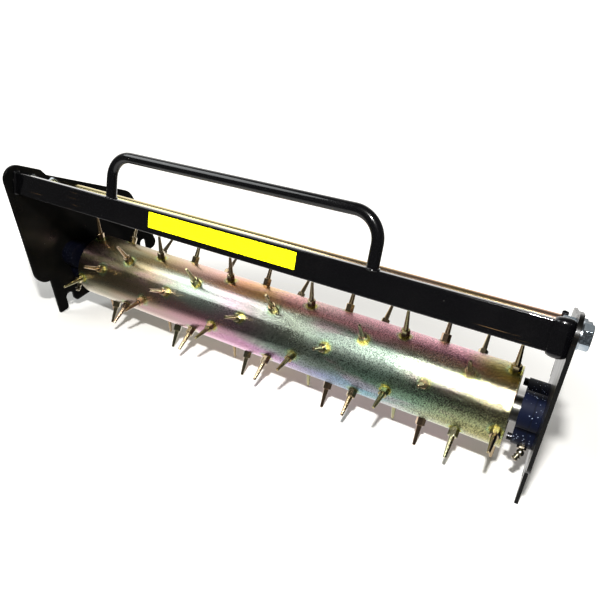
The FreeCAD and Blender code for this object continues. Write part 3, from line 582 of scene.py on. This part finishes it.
def bolt_thread(name, centre, inward, length):
    """A rolled thread, as one ridge wound from a bolt's end face back along it."""
    turns = length / THREAD_PITCH
    mesh = bmesh.new()
    ribs = []
    for index in range(int(turns * THREAD_STEPS) + 1):
        turn = 2 * math.pi * index / THREAD_STEPS
        along = THREAD_ENDS + THREAD_PITCH * index / THREAD_STEPS
        fade = min(1, index / THREAD_STEPS, turns - index / THREAD_STEPS)
        out = Vector((0, math.cos(turn), math.sin(turn)))
        rib = []
        for shift, rise in THREAD_SECTION:
            x = -inward * (along + shift * THREAD_PITCH)
            reach = LUG_RADIUS + max(rise * fade, -0.1) * MM
            rib.append(mesh.verts.new(centre + Vector((x, 0, 0)) + reach * out))
        ribs.append(rib)
    for first, second in zip(ribs, ribs[1:]):
        for number in range(len(THREAD_SECTION) - 1):
            mesh.faces.new((first[number], first[number + 1], second[number + 1], second[number]))
    bmesh.ops.recalc_face_normals(mesh, faces=mesh.faces)
    add_piece(name, finished(name, mesh), "bright_zinc")


def thread_lug_bolts():
    """The bolts' ends stand out of their nuts on the inside of each plate."""
    for side, sign in SIDES.items():
        points = [vertex.co.copy() for vertex in NODES[side + "_lug_bolts"].data.vertices]
        inside = min(point.x * sign for point in points)
        ends = [point for point in points if point.x * sign < inside + 0.2 * MM]
        gap = min(abs(corner.x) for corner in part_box(side + "_lug_nuts")) - inside
        for number, centre in enumerate(cluster_centres(ends, 12 * MM), start=1):
            bolt_thread(f"{side}_lug_thread_{number}", centre, -sign, gap - 2 * THREAD_ENDS)


# ------------------------------------------------------- stage, light, camera

CAMERA_LENS = 32.04
CAMERA_PLACE = (0.2644, -0.4787, 0.2705)
CAMERA_TURN = [math.radians(v) for v in (26.03, -17.90, 9.13)]
FLOOR_HALF = 6.0


def make_camera():
    data = bpy.data.cameras.new("camera")
    data.lens = CAMERA_LENS
    data.sensor_width = 36
    data.clip_start = 0.01
    camera = bpy.data.objects.new("camera", data)
    heading, pitch, roll = CAMERA_TURN
    turn = Matrix.Rotation(heading, 4, "Z") @ Matrix.Rotation(math.pi / 2 + pitch, 4, "X")
    turn @= Matrix.Rotation(roll, 4, "Z")
    camera.matrix_world = Matrix.Translation(CAMERA_PLACE) @ turn
    bpy.context.scene.collection.objects.link(camera)
    bpy.context.scene.camera = camera


def add_light(name, power, size, place, target, colour):
    data = bpy.data.lights.new(name, "AREA")
    data.energy = power
    data.shape = "DISK"
    data.size = size
    data.color = colour
    light = bpy.data.objects.new(name, data)
    light.location = place
    light.rotation_euler = (Vector(target) - Vector(place)).to_track_quat("-Z", "Y").to_euler()
    bpy.context.scene.collection.objects.link(light)


def make_floor():
    """White paper with painted light: it glows more the further it is from the object, standing in for a lit
    sweep.
    """
    half = FLOOR_HALF
    mesh = bpy.data.meshes.new("floor")
    mesh.from_pydata([(-half, -half, 0), (half, -half, 0), (half, half, 0), (-half, half, 0)],
                     [], [(0, 1, 2, 3)])
    floor = bpy.data.objects.new("floor", mesh)
    floor.visible_glossy = False
    bpy.context.scene.collection.objects.link(floor)
    r = Recipe("floor_paper", Roughness=0.9)
    place = r.place()
    r.set("Base Color", r.mix(r.noise(place, 3), (0.89, 0.885, 0.86), (0.92, 0.915, 0.89)))
    distance = r.node("ShaderNodeVectorMath", {0: place}, operation="LENGTH").outputs["Value"]
    # Painted light: the paper's own glow, weak near the object and full far from it.
    r.set("Emission Color", (1.0, 0.985, 0.95, 1))
    r.set("Emission Strength", r.span(distance, 0.30, 0.72, 0.02, 1.0))
    mesh.materials.append(r.material)


def make_world():
    """A dark room over a pale floor for reflections, and plain white behind the object."""
    world = bpy.data.worlds.new("studio")
    world.use_nodes = True
    r = NodeTree(world.node_tree)
    direction = r.node("ShaderNodeTexCoord").outputs["Generated"]
    parts = r.node("ShaderNodeSeparateXYZ", {0: direction}).outputs
    below = r.span(parts[2], -0.55, -0.75, 0.0, 0.85)
    behind = r.math("MULTIPLY", r.span(parts[1], -0.1, 0.4), r.span(parts[2], 1.0, 0.40))
    beside = r.span(parts[0], 0.25, -0.02, 0.05, 1.0)
    dim = r.math("ADD", r.math("MULTIPLY", r.math("MULTIPLY", behind, beside), 1.35), 0.06)
    light = r.math("MAXIMUM", below, dim)
    seen = r.node("ShaderNodeLightPath").outputs["Is Camera Ray"]
    strength = r.math("MAXIMUM", light, r.math("MULTIPLY", seen, 1.06))
    background = r.tree.nodes["Background"]
    background.inputs["Color"].default_value = (1.0, 0.985, 0.96, 1)
    r.tree.links.new(strength, background.inputs["Strength"])
    bpy.context.scene.world = world


make_camera()
add_light("flash", 10.5, 0.04, (0.25, -0.545, 0.52), (0.0, 0.0, 0.06), (1.0, 0.99, 0.97))
add_light("softbox", 5.0, 0.76, (-0.72, -0.65, 0.92), (0.0, 0.0, 0.05), (0.97, 1.0, 1.0))
make_floor()
make_world()
bpy.context.scene.view_settings.view_transform = "Standard"
dress_nodes()
weld_crossbar()
weld_handle()
grease_nipples()
thread_lug_bolts()
